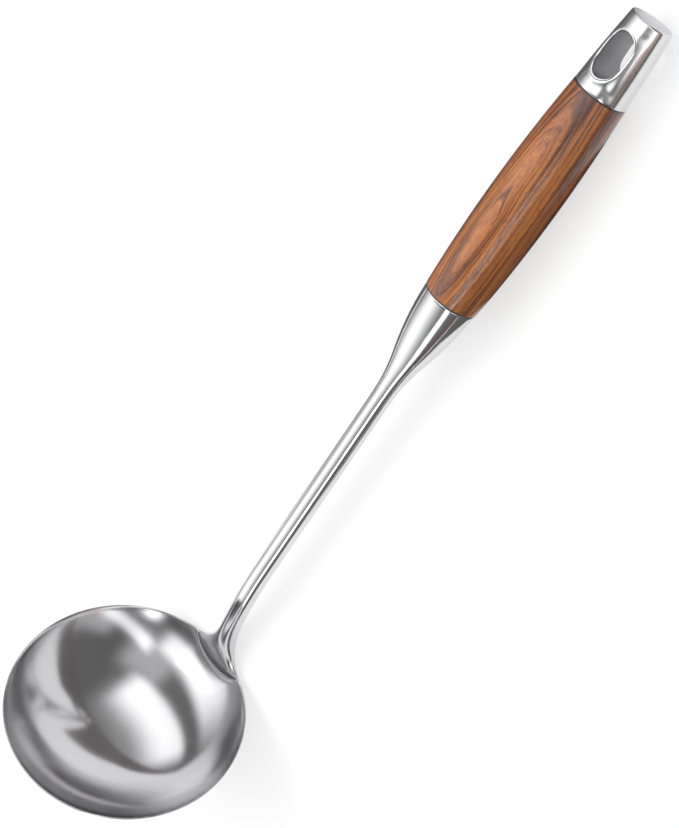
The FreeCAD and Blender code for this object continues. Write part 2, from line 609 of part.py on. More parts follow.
# Nothing is written unless every object has computed and every piece is one sound solid.
for item in doc.Objects:
    if "Invalid" in item.State or "Error" in item.State:
        raise RuntimeError(f"{item.Name} did not compute: {item.State}")
pieces = [ladle, grip, cap, stud]
for piece in pieces:
    if piece.Shape.isNull() or not piece.Shape.isValid() or len(piece.Shape.Solids) != 1:
        raise RuntimeError(f"{piece.Label} is not one sound solid")
stud_area = math.pi * dim("stud_radius") ** 2
for cut, before, depth in ((stud_hole, bell, "stud_in_bell"), (cap_hole, lip, "stud_in_cap")):
    if before.Shape.Volume - cut.Shape.Volume < stud_area * dim(depth):
        raise RuntimeError(f"{cut.Name} doesn't take the stud")

os.makedirs("parts", exist_ok=True)
for piece in pieces:
    piece.Shape.exportStep(f"parts/{piece.Label}.step")
    box = piece.Shape.BoundBox
    corners = [round(number, 2) for number in (box.XMin, box.YMin, box.ZMin, box.XMax, box.YMax, box.ZMax)]
    print(piece.Label, round(piece.Shape.Volume, 1), "mm3", corners)
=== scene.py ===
import bmesh
import bpy
import math
from mathutils import Euler, Matrix, Vector


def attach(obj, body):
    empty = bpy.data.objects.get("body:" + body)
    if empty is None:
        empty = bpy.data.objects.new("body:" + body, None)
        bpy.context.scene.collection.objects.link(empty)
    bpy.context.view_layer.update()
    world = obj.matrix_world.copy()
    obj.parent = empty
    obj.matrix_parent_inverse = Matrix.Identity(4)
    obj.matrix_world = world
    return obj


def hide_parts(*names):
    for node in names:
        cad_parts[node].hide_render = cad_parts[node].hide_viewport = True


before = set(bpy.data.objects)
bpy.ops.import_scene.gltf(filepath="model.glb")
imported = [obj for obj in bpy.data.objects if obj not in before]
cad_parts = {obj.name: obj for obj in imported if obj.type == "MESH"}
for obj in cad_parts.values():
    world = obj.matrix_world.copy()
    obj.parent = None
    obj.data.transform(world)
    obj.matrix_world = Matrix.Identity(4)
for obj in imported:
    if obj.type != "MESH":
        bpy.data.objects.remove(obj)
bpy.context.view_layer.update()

# Sizes of the ladle in millimetres and degrees, the same as in the CAD model. The shape is told with
# the rim's plane as z = 0, the bowl's axis as the Z axis and the handle rising on the +X side. A lean
# of the handle counts up from the rim's plane, and a lean on the bowl counts up from its bottom.
RIM = 50
BOWL = 58.22997
DEPTH = 29
CENTRE = BOWL - DEPTH
WALL = 1.2
ROOT = 47.8
NECK_RADIUS = 147
NECK_LEAN = 85.7
SHAFT = 4.15
SHAFT_LEAN = 64.2
SHAFT_RUN = 96
BELL_RUN = 50
BELL_END = 11.05
BELL_TAPER = 2.2
BELL_CROWN = 140
BELL_CROWN_RUN = 30
BELL_THROAT = 81.393
HANDLE_LEAN = 60.7
GRIP_RUN = 94
GRIP_CROWN = 634.07061
GRIP_CROWN_SUNK = 621.37053
GRIP_BELLY = 44.30927
GRIP_EDGE = 0.34
CAP_RUN = 30.6
CAP_RADII = [(0, 10.65), (15.3, 9.72), (30.6, 8.4)]
SLOT_LOW, SLOT_HIGH, SLOT_HALF = 6.2, 23.8, 5.3
SLOT_TURN = 5
LAY_TURN = 63.03158
LAY_SHIFT = Vector((-156.81057, 0, 44.84395))

# From there to the ladle as it lies, in metres.
lay = (Matrix.Scale(0.001, 4) @ Matrix.Translation(LAY_SHIFT)
       @ Matrix.Rotation(math.radians(LAY_TURN), 4, "Y"))


def sine(turn):
    return math.sin(math.radians(turn))


def cosine(turn):
    return math.cos(math.radians(turn))


def heading(lean):
    """Direction along the handle's line where it has this lean."""
    return Vector((cosine(lean), 0, sine(lean)))


def share_of(value, start, end):
    """How far a value has come from start to end, from 0 to 1."""
    return min(max((value - start) / (end - start), 0), 1)


def between(table, at):
    """Value of a table of (place, value) pairs at a place, along a smooth curve through them."""
    places = [row[0] for row in table]
    values = [row[1] for row in table]
    if at <= places[0]:
        return values[0]
    if at >= places[-1]:
        return values[-1]
    slopes = []
    for number in range(len(places)):
        before = max(number - 1, 0)
        after = min(number + 1, len(places) - 1)
        slopes.append((values[after] - values[before]) / (places[after] - places[before]))
    number = max(index for index, place in enumerate(places[:-1]) if place <= at)
    step = places[number + 1] - places[number]
    share = (at - places[number]) / step
    rest = 1 - share
    start = (1 + 2 * share) * rest**2 * values[number] + share * rest**2 * step * slopes[number]
    end = share**2 * (3 - 2 * share) * values[number + 1] - share**2 * rest * step * slopes[number + 1]
    return start + end


def strip(build, first, second, closed=True, flip=False):
    """Join two rows of vertices with quads."""
    last = len(first) if closed else len(first) - 1
    for number in range(last):
        after = (number + 1) % len(first)
        corners = [first[number], first[after], second[after], second[number]]
        if flip:
            corners.reverse()
        build.faces.new(corners)


def fan(build, ring, centre, flip=False):
    """Join a ring of vertices to one in its middle with triangles."""
    for number, vertex in enumerate(ring):
        corners = [vertex, ring[(number + 1) % len(ring)], centre]
        if flip:
            corners.reverse()
        build.faces.new(corners)


# The line of the rod, by its length from the rim's plane: the neck's arc, the straight shaft and the
# bell's slighter arc, which ends at the joint with the grip.
NECK_RUN = NECK_RADIUS * math.radians(NECK_LEAN - SHAFT_LEAN)
BEND_RADIUS = BELL_RUN / math.radians(SHAFT_LEAN - HANDLE_LEAN)
ROD_RUN = NECK_RUN + SHAFT_RUN + BELL_RUN


def neck_point(lean):
    x = ROOT + NECK_RADIUS * (sine(NECK_LEAN) - sine(lean))
    return Vector((x, 0, NECK_RADIUS * (cosine(lean) - cosine(NECK_LEAN))))


SHAFT_START = neck_point(SHAFT_LEAN)
BELL_START = SHAFT_START + SHAFT_RUN * heading(SHAFT_LEAN)


def bell_point(lean):
    x = sine(SHAFT_LEAN) - sine(lean)
    return BELL_START + BEND_RADIUS * Vector((x, 0, cosine(lean) - cosine(SHAFT_LEAN)))


JOINT = bell_point(HANDLE_LEAN)


def rod_line(run):
    """Point of the rod's line and its lean there."""
    if run < NECK_RUN:
        lean = NECK_LEAN - math.degrees(run / NECK_RADIUS)
        return neck_point(lean), lean
    if run < NECK_RUN + SHAFT_RUN:
        return SHAFT_START + (run - NECK_RUN) * heading(SHAFT_LEAN), SHAFT_LEAN
    lean = SHAFT_LEAN - math.degrees((run - NECK_RUN - SHAFT_RUN) / BEND_RADIUS)
    return bell_point(lean), lean


def rod_radius(run):
    """Radius of the rod and of the bell at its end: a throat arc, then a crown arc."""
    drop = ROD_RUN - run
    if drop > BELL_RUN:
        return SHAFT
    if drop < BELL_CROWN_RUN:
        taper = drop * math.tan(math.radians(BELL_TAPER))
        return BELL_END - taper - BELL_CROWN + math.sqrt(BELL_CROWN**2 - drop**2)
    return SHAFT + BELL_THROAT - math.sqrt(BELL_THROAT**2 - (BELL_RUN - drop) ** 2)


# The ladle body is a sheet with an inner and an outer side. Its columns are meridians of the bowl,
# and the ones in front run on up the tongue and the rod, where FRONT has their turns round half of
# the section.
FRONT = [-75, -60, -45, -30, -15, 0, 15, 30, 45, 60, 75]
TONGUE_WIDTH = 13.5
front_turns = [math.degrees(math.asin(TONGUE_WIDTH * sine(turn) / RIM)) for turn in FRONT]
side_turns = [18, 21, 25, 30, 35.5, 41.5, 48]
back_turns = list(range(54, 307, 6))
turns = front_turns + side_turns + back_turns + [360 - turn for turn in reversed(side_turns)]
# The rows, by their lean: the wall is ground thinner from THIN_START up to the rim's edge, and from
# TONGUE_START on the tongue grows out of it.
ROW_LEANS = [5, 10, 15, 20, 25, 29.5, 34, 38, 41.5, 44.5, 47.3, 49.8, 52, 53.8, 55.4, 56.8, 58, 59.2]
RIM_LEAN = 60
RIM_SUNK = 0.32
THIN_START = 8
THINNED = 0.5
TONGUE_START = 40


def wall_at(lean):
    """Thickness of the bowl's wall."""
    share = share_of(lean, THIN_START, RIM_LEAN)
    return WALL - THINNED * share**2 * (3 - 2 * share)


def wall_point(radius, lean, turn):
    """Point of the bowl's wall: its lean up from the bottom and its turn from the neck, in degrees."""
    reach = radius * sine(lean)
    return Vector((reach * cosine(turn), reach * sine(turn), CENTRE - radius * cosine(lean)))


# The tongue's section by its length from the rim's plane: half its width, how far it reaches towards
# the bowl's inside and outside, and how far its edges are set back to follow the rim.
HALF_WIDTH = [(0, TONGUE_WIDTH), (0.7, 12.7), (1.5, 11.7), (3, 10.2), (5, 8.4), (8, 6.7), (12.5, 5.2),
              (18, 4.3), (22, 4.15)]
INNER = [(-1, 2.5), (0, 2.57), (3.6, 3.1), (7.6, 3.6), (13, 4.0), (20, 4.15)]
OUTER = [(0, 2.16), (3.6, 2.9), (7.6, 3.6), (13, 4.0), (20, 4.15)]
BACK = [(0, 0.49), (3, 0.15), (6, 0)]
ROUND_START = 22
NECK_SLOPE = 0.075
NECK_FILLET = 1.6


def section_point(run, across, away):
    """Point beside the rod's line: across it, and away from the bowl's inside."""
    middle, lean = rod_line(run)
    return middle + away * Vector((sine(lean), 0, -cosine(lean))) + Vector((0, across, 0))


def tongue_point(run, turn, outside):
    """Point of the tongue's section: half an ellipse towards the bowl and half one away from it."""
    reach = between(OUTER, run) if outside else -between(INNER, run)
    away = reach * cosine(turn) - between(BACK, run) * sine(turn) ** 2
    return section_point(run, between(HALF_WIDTH, run) * sine(turn), away)


# A ring of 24 corners, smoothed, is 1.15% smaller than the circle through them.
ROD_GROWTH = 1.0115
BELL_EDGE = 0.3
BELL_EDGE_RUN = 0.2


def rod_point(run, turn, outside):
    """Point of the rod's round section, whose last ring makes the bell's edge."""
    radius = rod_radius(run) * ROD_GROWTH
    if ROD_RUN - run < BELL_EDGE_RUN:
        radius -= BELL_EDGE
    reach = radius if outside else -radius
    return section_point(run, radius * sine(turn), reach * cosine(turn))


def inner_front(lean, number):
    """Point of the bowl's inner side under the tongue, where the tongue grows out of the wall."""
    point = wall_point(BOWL - wall_at(lean), lean, turns[number])
    turn = FRONT[number]
    line = ROOT - NECK_SLOPE * (1 + point.z)
    tongue = line - between(INNER, 0) * cosine(turn) - between(BACK, 0) * sine(turn) ** 2
    soft = NECK_FILLET * cosine(turn)
    gap = point.x - tongue
    point.x = (point.x + tongue - math.sqrt(gap**2 + soft**2)) / 2
    return point


body = bmesh.new()
rows = []
for lean in ROW_LEANS:
    row = []
    for number, turn in enumerate(turns):
        outer = wall_point(BOWL, lean, turn)
        if number < len(FRONT) and lean > TONGUE_START:
            inner = inner_front(lean, number)
        else:
            inner = wall_point(BOWL - wall_at(lean), lean, turn)
        row.append((body.verts.new(inner), body.verts.new(outer)))
    rows.append(row)

# Walls of the bowl up to the rim, and their poles.
for below, above in zip(rows, rows[1:]):
    strip(body, [pair[0] for pair in below], [pair[0] for pair in above])
    strip(body, [pair[1] for pair in below], [pair[1] for pair in above], flip=True)
for side, height in ((0, WALL), (1, 0)):
    pole = body.verts.new((0, 0, CENTRE - BOWL + height))
    fan(body, [pair[side] for pair in rows[0]], pole, flip=side == 1)

# The rim's own edge, all round but the front.
edges = [body.verts.new(wall_point(BOWL - RIM_SUNK, RIM_LEAN, turn)) for turn in turns[len(FRONT):]]

# The tongue, the rod and the bell, in loops of an inner and an outer side with an edge between them
# at -Y and one at +Y.
RUNS = [0.6, 2, 3.6, 5.4, 7.6, 10.4, 14, 18.5, 24, 30, 36, 42, 48, 54, 60, 84, 108, 132, 146, 152, 157]
RUNS += [161, 165] + [ROD_RUN - drop for drop in (33, 29.5, 26, 22, 17.5, 13, 9, 5.5, 3, 1.3, 0.45, 0.1)]
loops = []
for run in RUNS:
    point = tongue_point if run < ROUND_START else rod_point
    inner_side, outer_side = [], []
    for turn in FRONT:
        inner_side.append(body.verts.new(point(run, turn, False)))
        outer_side.append(body.verts.new(point(run, turn, True)))
    low_edge = body.verts.new(point(run, -90, False))
    high_edge = body.verts.new(point(run, 90, False))
    loops.append((inner_side, outer_side, low_edge, high_edge))

# The rim goes from the inner row over its edge to the outer row, and meets the tongue's first loop.
count = len(FRONT)
inner_top = [pair[0] for pair in rows[-1]]
outer_top = [pair[1] for pair in rows[-1]]
inner_side, outer_side, low_edge, high_edge = loops[0]
strip(body, inner_top[:count], inner_side, closed=False)
strip(body, outer_top[:count], outer_side, closed=False, flip=True)
rim_inner = [inner_side[-1]] + inner_top[count:] + [inner_side[0]]
rim_outer = [outer_side[-1]] + outer_top[count:] + [outer_side[0]]
rim_edge = [high_edge] + edges + [low_edge]
body.faces.new([inner_top[count - 1], inner_top[count], inner_side[-1]])
body.faces.new([inner_top[-1], inner_top[0], inner_side[0]])
body.faces.new([outer_top[count], outer_top[count - 1], outer_side[-1]])
body.faces.new([outer_top[0], outer_top[-1], outer_side[0]])
strip(body, rim_inner, rim_edge, closed=False)
strip(body, rim_edge, rim_outer, closed=False)

# Loop joins loop up to the bell's flat end, where a ring a little smaller keeps the edge crisp.
BELL_END_SHARE = 0.93
for below, above in zip(loops, loops[1:]):
    strip(body, below[0], above[0], closed=False)
    strip(body, below[1], above[1], closed=False, flip=True)
    for edge, end in ((2, 0), (3, -1)):
        flip = end == -1
        strip(body, [below[edge], below[0][end]], [above[edge], above[0][end]], closed=False, flip=flip)
        strip(body, [below[1][end], below[edge]], [above[1][end], above[edge]], closed=False, flip=flip)
inner_side, outer_side, low_edge, high_edge = loops[-1]
bell_ring = inner_side + [high_edge] + outer_side[::-1] + [low_edge]
centre = body.verts.new(JOINT)
middle_ring = [body.verts.new(JOINT + (vertex.co - JOINT) * BELL_END_SHARE) for vertex in bell_ring]
strip(body, bell_ring, middle_ring)
fan(body, middle_ring, centre)
bmesh.ops.recalc_face_normals(body, faces=body.faces)


def add_object(name, data):
    made = bpy.data.objects.new(name, data)
    bpy.context.scene.collection.objects.link(made)
    return made


def settle(name, build, levels):
    """Turn a cage into a piece of the scene, smoothed a number of times."""
    cage = bpy.data.meshes.new(name)
    build.to_mesh(cage)
    build.free()
    piece = add_object(name, cage)
    if levels:
        smooth = piece.modifiers.new("smooth", "SUBSURF")
        smooth.levels = levels
        smooth.render_levels = levels
        done = piece.evaluated_get(bpy.context.evaluated_depsgraph_get())
        dense = bpy.data.meshes.new_from_object(done)
        piece.modifiers.clear()
        piece.data = dense
    return piece


def finish(piece, node, slot, *looks):
    """Lay a piece down as the ladle lies, and let it stand for a CAD node."""
    piece.data.transform(lay)
    for face in piece.data.polygons:
        face.use_smooth = True
    for look in looks:
        piece.data.materials.append(look)
    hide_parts(node)
    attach(piece, "root")


class Tree:
    """The nodes of a material or of the world, with short names for the kinds that are used here."""

    def __init__(self, owner):
        owner.use_nodes = True
        self.tree = owner.node_tree

    def add(self, kind, **values):
        made = self.tree.nodes.new(kind)
        for name, value in values.items():
            setattr(made, name, value)
        return made

    def put(self, socket, value):
        """Link an output to a socket, or set the socket's own value."""
        if isinstance(value, bpy.types.NodeSocket):
            self.tree.links.new(value, socket)
        elif isinstance(value, tuple) and len(value) == 3 and len(socket.default_value) == 4:
            socket.default_value = (*value, 1)
        else:
            socket.default_value = value

    def math(self, operation, first, second=0.0):
        made = self.add("ShaderNodeMath", operation=operation)
        for socket, value in zip(made.inputs, (first, second)):
            self.put(socket, value)
        return made.outputs[0]

    def plus(self, *values):
        total = values[0]
        for value in values[1:]:
            total = self.math("ADD", total, value)
        return total

    def times(self, *values):
        total = values[0]
        for value in values[1:]:
            total = self.math("MULTIPLY", total, value)
        return total

    def weigh(self, *terms):
        """Sum of (value, weight) pairs."""
        return self.plus(*[self.times(value, weight) for value, weight in terms])

    def swing(self, noise, width):
        """A noise made to swing round zero, over that width."""
        return self.times(self.math("SUBTRACT", noise, 0.5), width)

    def step(self, value, start, end, low=0.0, high=1.0):
        """Goes smoothly from low at start to high at end."""
        made = self.add("ShaderNodeMapRange", interpolation_type="SMOOTHSTEP")
        names = ("Value", "From Min", "From Max", "To Min", "To Max")
        for name, number in zip(names, (value, start, end, low, high)):
            self.put(made.inputs[name], number)
        return made.outputs["Result"]

    def place(self, size=(1, 1, 1)):
        """Coordinates in the ladle's own frame, stretched."""
        made = self.add("ShaderNodeMapping")
        self.put(made.inputs["Vector"], self.add("ShaderNodeTexCoord").outputs["Object"])
        made.inputs["Scale"].default_value = size
        return made.outputs[0]

    def split(self, vector):
        """The x, y and z of a vector."""
        made = self.add("ShaderNodeSeparateXYZ")
        self.put(made.inputs[0], vector)
        return made.outputs

    def noise(self, where, scale, detail, rough):
        made = self.add("ShaderNodeTexNoise")
        for name, value in (("Vector", where), ("Scale", scale), ("Detail", detail), ("Roughness", rough)):
            self.put(made.inputs[name], value)
        return made.outputs[0]

    def grain(self, along, across, detail, rough):
        """Noise with so many waves in a metre along the ladle and across it."""
        return self.noise(self.place((along, across, across)), 1, detail, rough)

    def ramp(self, value, *stops):
        made = self.add("ShaderNodeValToRGB")
        self.put(made.inputs[0], value)
        points = made.color_ramp.elements
        while len(points) < len(stops):
            points.new(0.5)
        for point, (position, colour) in zip(points, stops):
            point.position = position
            point.color = (*colour, 1)
        return made.outputs[0]

    def mix(self, share, first, second, blend="MIX"):
        made = self.add("ShaderNodeMix", data_type="RGBA", blend_type=blend)
        for number, value in ((0, share), (6, first), (7, second)):
            self.put(made.inputs[number], value)
        return made.outputs[2]

    def bump(self, height, strength, distance, normal=None):
        made = self.add("ShaderNodeBump")
        self.put(made.inputs["Height"], height)
        self.put(made.inputs["Strength"], strength)
        self.put(made.inputs["Distance"], distance)
        if normal:
            self.put(made.inputs["Normal"], normal)
        return made.outputs[0]


def material(name, **values):
    """A new material, its tree and its shader, with values for the shader's sockets."""
    made = bpy.data.materials.new(name)
    tree = Tree(made)
    shader = tree.tree.nodes["Principled BSDF"]
    for socket, value in values.items():
        tree.put(shader.inputs[socket.replace("_", " ")], value)
    return made, tree, shader


# Steel of the bowl and the rod: satin inside the bowl, brighter up the rod, brushed along it; the bowl's
# steel is made darker as painted shade, to dim the reflections inside its hollow. The bowl's look goes
# over into the rod's between two places of the lying ladle, by X in metres.
NECK_PLACE = (-0.135, -0.1)
steel, tree, shader = material("satin_steel", Metallic=1.0)
spot = tree.place()
x, y, z = tree.split(spot)
up_rod = tree.step(x, *NECK_PLACE)
cloudy = tree.noise(spot, 45, 3, 0.55)
fine = tree.mix(up_rod, tree.grain(1500, 1500, 2, 0.5), tree.grain(60, 2600, 3, 0.6))
shine = tree.ramp(
    tree.weigh((cloudy, 0.7), (fine, 0.3)), (0.3, (0.66, 0.66, 0.67)), (0.7, (0.76, 0.76, 0.765))
)
# Painted shade: the steel in the bowl is made darker than on the rod, to dim the reflections inside the
# hollow.
bowl_painted_shade = tree.step(up_rod, 1, 0)
tree.put(shader.inputs["Base Color"], tree.mix(bowl_painted_shade, shine, (0.86, 0.855, 0.865), "MULTIPLY"))
# The rim is a little rougher. Its height is over the rim's plane, in metres, for the ladle as it lies.
RIM_PLANE = (0.8913, 0.4535, 0.11942)
above = tree.plus(tree.weigh((x, RIM_PLANE[0]), (z, RIM_PLANE[1])), RIM_PLANE[2])
near_rim = tree.times(tree.step(above, -0.017, -0.004), tree.step(above, 0.004, 0.0))
tree.put(shader.inputs["Roughness"], tree.plus(
    tree.step(up_rod, 0, 1, 0.13, 0.11), tree.swing(cloudy, 0.12), tree.swing(fine, 0.08),
    tree.times(near_rim, 0.05),
))
soft_wave = tree.noise(spot, 22, 1, 0.4)
tree.put(shader.inputs["Normal"], tree.bump(fine, 0.12, 0.00006, tree.bump(soft_wave, 0.25, 0.0006)))

# Steel of the cap: polished, with fine lines along it.
cap_steel, tree, shader = material("polished_steel", Metallic=1.0)
lines = tree.grain(60, 2400, 3, 0.6)
cloudy = tree.noise(tree.place(), 90, 3, 0.55)
tree.put(shader.inputs["Base Color"], tree.ramp(
    tree.weigh((cloudy, 0.6), (lines, 0.4)), (0.3, (0.68, 0.68, 0.69)), (0.7, (0.78, 0.78, 0.785))
))
tree.put(shader.inputs["Roughness"], tree.plus(0.09, tree.weigh((cloudy, 0.06), (lines, 0.06))))
tree.put(shader.inputs["Normal"], tree.bump(lines, 0.12, 0.00005))

# Matt steel on the cap's end face, and a darker one inside the slot, whose darkness is painted shade for
# the recess.
dull_steels = []
for name, dark, pale in (("matt_steel", 0.7, 0.8), ("slot_painted_shade_steel", 0.38, 0.46)):
    look, tree, shader = material(name, Metallic=1.0)
    grit = tree.noise(tree.place(), 900, 3, 0.6)
    cloudy = tree.noise(tree.place(), 120, 3, 0.55)
    tree.put(shader.inputs["Base Color"], tree.ramp(
        tree.weigh((cloudy, 0.5), (grit, 0.5)),
        (0.35, (dark, dark, dark * 1.03)), (0.65, (pale, pale, pale * 1.03)),
    ))
    tree.put(shader.inputs["Roughness"], tree.plus(0.5, tree.times(grit, 0.12)))
    tree.put(shader.inputs["Normal"], tree.bump(grit, 0.2, 0.0001))
    dull_steels.append(look)
matt_steel, slot_painted_shade_steel = dull_steels

# Wood of the grip: flat-sawn rings that the belly cuts into nested ovals, streaks and pores.
wood, tree, shader = material(
    "oiled_wood", Metallic=0.0, Specular_IOR_Level=0.5, Coat_Weight=0.8, Coat_Roughness=0.19, Coat_IOR=1.6
)
x, y, z = tree.split(tree.place())
# Depth below the top of the rings, in metres. The rings' top leans along the grip and is bowed
# across it, and the belly cuts them into ovals round x = 0.1.
RINGS_TOP, RINGS_LEAN, RINGS_BOW = 0.02909, -0.0281, 9.0
wander = tree.grain(16, 70, 2, 0.5)
ripple = tree.grain(50, 240, 3, 0.5)
depth = tree.plus(
    RINGS_TOP, tree.times(z, -1), tree.times(x, RINGS_LEAN), tree.times(y, y, RINGS_BOW),
    tree.swing(wander, 0.0022), tree.swing(ripple, 0.0005),
)
ring = tree.math("SQRT", tree.plus(tree.math("MAXIMUM", depth, 0.0), 0.0000001))
joined = tree.add("ShaderNodeCombineXYZ")
for number, (value, waves) in enumerate(((x, 9.0), (ring, 135.0), (y, 20.0))):
    tree.put(joined.inputs[number], tree.times(value, waves))
growth = tree.noise(joined.outputs[0], 1, 2, 0.5)
fibre = tree.grain(70, 1300, 3, 0.6)
broad = tree.grain(30, 130, 2, 0.5)
tone = tree.plus(
    tree.weigh((growth, 0.66), (fibre, 0.16), (broad, 0.18)), tree.step(ring, 0.022, 0.008, 0.0, 0.06)
)
colour = tree.ramp(
    tone, (0.37, (0.075, 0.020, 0.006)), (0.44, (0.18, 0.046, 0.009)),
    (0.50, (0.38, 0.108, 0.018)), (0.62, (0.56, 0.195, 0.04)),
)
pores = tree.step(tree.grain(260, 3000, 1, 0.5), 0.60, 0.70)
colour = tree.mix(tree.times(pores, 0.5), colour, (0.05, 0.016, 0.007))
# The grip's last fraction of a millimetre at the bell and at the cap is painted nearly black, painted
# shade for the joint grooves between the wood and the steel. The length along the grip, in metres, runs
# from the joint with the bell to 0.094 at the cap.
GRIP_LINE = (0.9992, -0.0407, -0.06383)
along = tree.plus(tree.weigh((x, GRIP_LINE[0]), (z, GRIP_LINE[1])), GRIP_LINE[2])
joint_painted_shade = tree.math("MAXIMUM", tree.step(along, 0.0932, 0.0938), tree.step(along, 0.0007, 0.0002))
# Painted shade: the wood goes nearly black right at the joints.
colour = tree.mix(tree.times(joint_painted_shade, 0.9), colour, (0.018, 0.007, 0.004))
tree.put(shader.inputs["Base Color"], colour)
tree.put(shader.inputs["Roughness"], tree.plus(0.24, tree.weigh((growth, 0.14), (pores, 0.2))))
relief = tree.weigh((growth, 0.4), (fibre, 0.6), (pores, -0.8))
tree.put(shader.inputs["Normal"], tree.bump(relief, 0.6, 0.00022))
mottle = tree.grain(700, 1500, 2, 0.6)
tree.put(shader.inputs["Coat Normal"], tree.bump(mottle, 0.6, 0.00025))

ladle = settle("ladle", body, 2)
# Smoothing draws the bowl in. Its walls go back onto their spheres away from the neck, where the turn
# from the neck is past HELD or the place is below NECK_FOOT, and the rim back onto its circle, rounded
# outside. These heights and the turn are in the same millimetres and degrees as the sizes.
HELD = (17, 21)
NECK_FOOT = -14
ABOVE_RIM = 0.5
RIM_BLEND = (-2, -0.8)
RIM_ROUND = 0.37
RIM_ROUND_DROP = 0.38
RIM_FIT = 49.98
RIM_WIDEST = 49.94
BOWL_CENTRE = Vector((0, 0, CENTRE))
rim_reach = max(vertex.co.xy.length for vertex in ladle.data.vertices if vertex.co.x < 0)
for vertex in ladle.data.vertices:
    place = vertex.co
    if place.z > ABOVE_RIM:
        continue
    turn = abs(math.degrees(math.atan2(place.y, place.x)))
    hold = share_of(turn, *HELD) if place.z > NECK_FOOT else 1
    spoke = place - BOWL_CENTRE
    reach = spoke.length
    wall = wall_at(math.degrees(math.acos(min(-spoke.z / reach, 1))))
    target = BOWL if reach > BOWL - wall / 2 else BOWL - wall
    on_wall = BOWL_CENTRE + spoke * target / reach
    rise = min(max(place.z + RIM_ROUND_DROP, 0), RIM_ROUND)
    widest = RIM_WIDEST - RIM_ROUND + math.sqrt(RIM_ROUND**2 - rise**2)
    wide = min(place.xy.length * RIM_FIT / rim_reach, widest) / place.xy.length
    on_rim = Vector((place.x * wide, place.y * wide, min(place.z, 0)))
    vertex.co = place.lerp(on_wall.lerp(on_rim, share_of(place.z, *RIM_BLEND)), hold)
finish(ladle, "ladle_body", "bowl_steel", steel)

HANDLE_AXIS = heading(HANDLE_LEAN)
HANDLE_UP = Vector((-sine(HANDLE_LEAN), 0, cosine(HANDLE_LEAN)))


def on_handle(base, along, radius, turn):
    """Point round the handle's straight line, with the turn measured from its upper side."""
    spoke = cosine(turn) * HANDLE_UP + sine(turn) * Vector((0, 1, 0))
    return base + along * HANDLE_AXIS + radius * spoke


# The grip: one crown arc from end to end, with its two edges rounded.
GRIP_SIDES = 144
GRIP_STEPS = 96
GRIP_END_SHARE = 0.4
edge_stations = [0, 0.05, 0.12, 0.22, 0.34, 0.6]
stations = edge_stations + [GRIP_RUN / GRIP_STEPS * step for step in range(1, GRIP_STEPS)]
stations += [GRIP_RUN - along for along in reversed(edge_stations)]
grip = bmesh.new()
loops = []
for along in stations:
    radius = math.sqrt(GRIP_CROWN**2 - (along - GRIP_BELLY) ** 2) - GRIP_CROWN_SUNK
    edge = min(along, GRIP_RUN - along)
    if edge < GRIP_EDGE:
        radius -= GRIP_EDGE - math.sqrt(GRIP_EDGE**2 - (GRIP_EDGE - edge) ** 2)
    ring = [on_handle(JOINT, along, radius, 360 / GRIP_SIDES * step) for step in range(GRIP_SIDES)]
    loops.append([grip.verts.new(point) for point in ring])
for below, above in zip(loops, loops[1:]):
    strip(grip, below, above)
for loop in (loops[0], loops[-1]):
    middle = sum((vertex.co for vertex in loop), Vector()) / GRIP_SIDES
    small = [grip.verts.new(vertex.co.lerp(middle, 1 - GRIP_END_SHARE)) for vertex in loop]
    strip(grip, loop, small)
    grip.faces.new(small)
bmesh.ops.recalc_face_normals(grip, faces=grip.faces)
handle = settle("grip", grip, 0)
finish(handle, "wood_grip", "grip_wood", wood)

# The cap: a ring of columns, with a window of cells left out above and below for the slot. Each row
# has its length along the cap and what its radius is changed by, for the rounded edges.
CAP_BASE = JOINT + GRIP_RUN * HANDLE_AXIS
CAP_GROWTH = 1.0135
CAP_END_SHARES = (0.5, 0.2)
WINDOW_ACROSS = 6
WINDOW_ALONG = 8
WINDOW_TURN = 50
WINDOW_START = 3.4
WINDOW_RUN = 23.2
window = [-WINDOW_TURN + 2 * WINDOW_TURN / WINDOW_ACROSS * step for step in range(WINDOW_ACROSS + 1)]
half_round = window + [66, 82, 98, 114]
columns = half_round + [180 + turn for turn in half_round]
HALF = len(half_round)
near_rows = [(0, -0.45), (0.05, -0.12), (0.35, 0), (1.5, 0)]
window_rows = [(WINDOW_START + WINDOW_RUN / WINDOW_ALONG * step, 0) for step in range(WINDOW_ALONG + 1)]
far_rows = [(28.4, 0), (29.6, 0), (30.2, 0), (30.55, -0.22), (CAP_RUN, -0.75), (CAP_RUN, -2.2)]
FIRST_ROW = len(near_rows)
LAST_ROW = FIRST_ROW + WINDOW_ALONG


def on_cap(along, radius, turn):
    """Point of the cap, whose slot looks a little towards +Y."""
    return on_handle(CAP_BASE, along, radius, turn + SLOT_TURN)


def cap_radius(along):
    return between(CAP_RADII, along)


cap = bmesh.new()
rings = []
for along, more in near_rows + window_rows + far_rows:
    radius = cap_radius(along) * CAP_GROWTH + more
    rings.append([cap.verts.new(on_cap(along, radius, turn)) for turn in columns])
for row, (below, above) in enumerate(zip(rings, rings[1:])):
    for number in range(len(columns)):
        if number % HALF < WINDOW_ACROSS and FIRST_ROW <= row < LAST_ROW:
            continue
        after = (number + 1) % len(columns)
        cap.faces.new([below[number], below[after], above[after], above[number]])
for ring, along in ((rings[0], 0), (rings[-1], CAP_RUN)):
    for share in CAP_END_SHARES:
        inner = [cap.verts.new(on_cap(along, cap_radius(along) * share, turn)) for turn in columns]
        strip(cap, ring, inner)
        ring = inner
    fan(cap, ring, cap.verts.new(on_cap(along, 0, 0)))

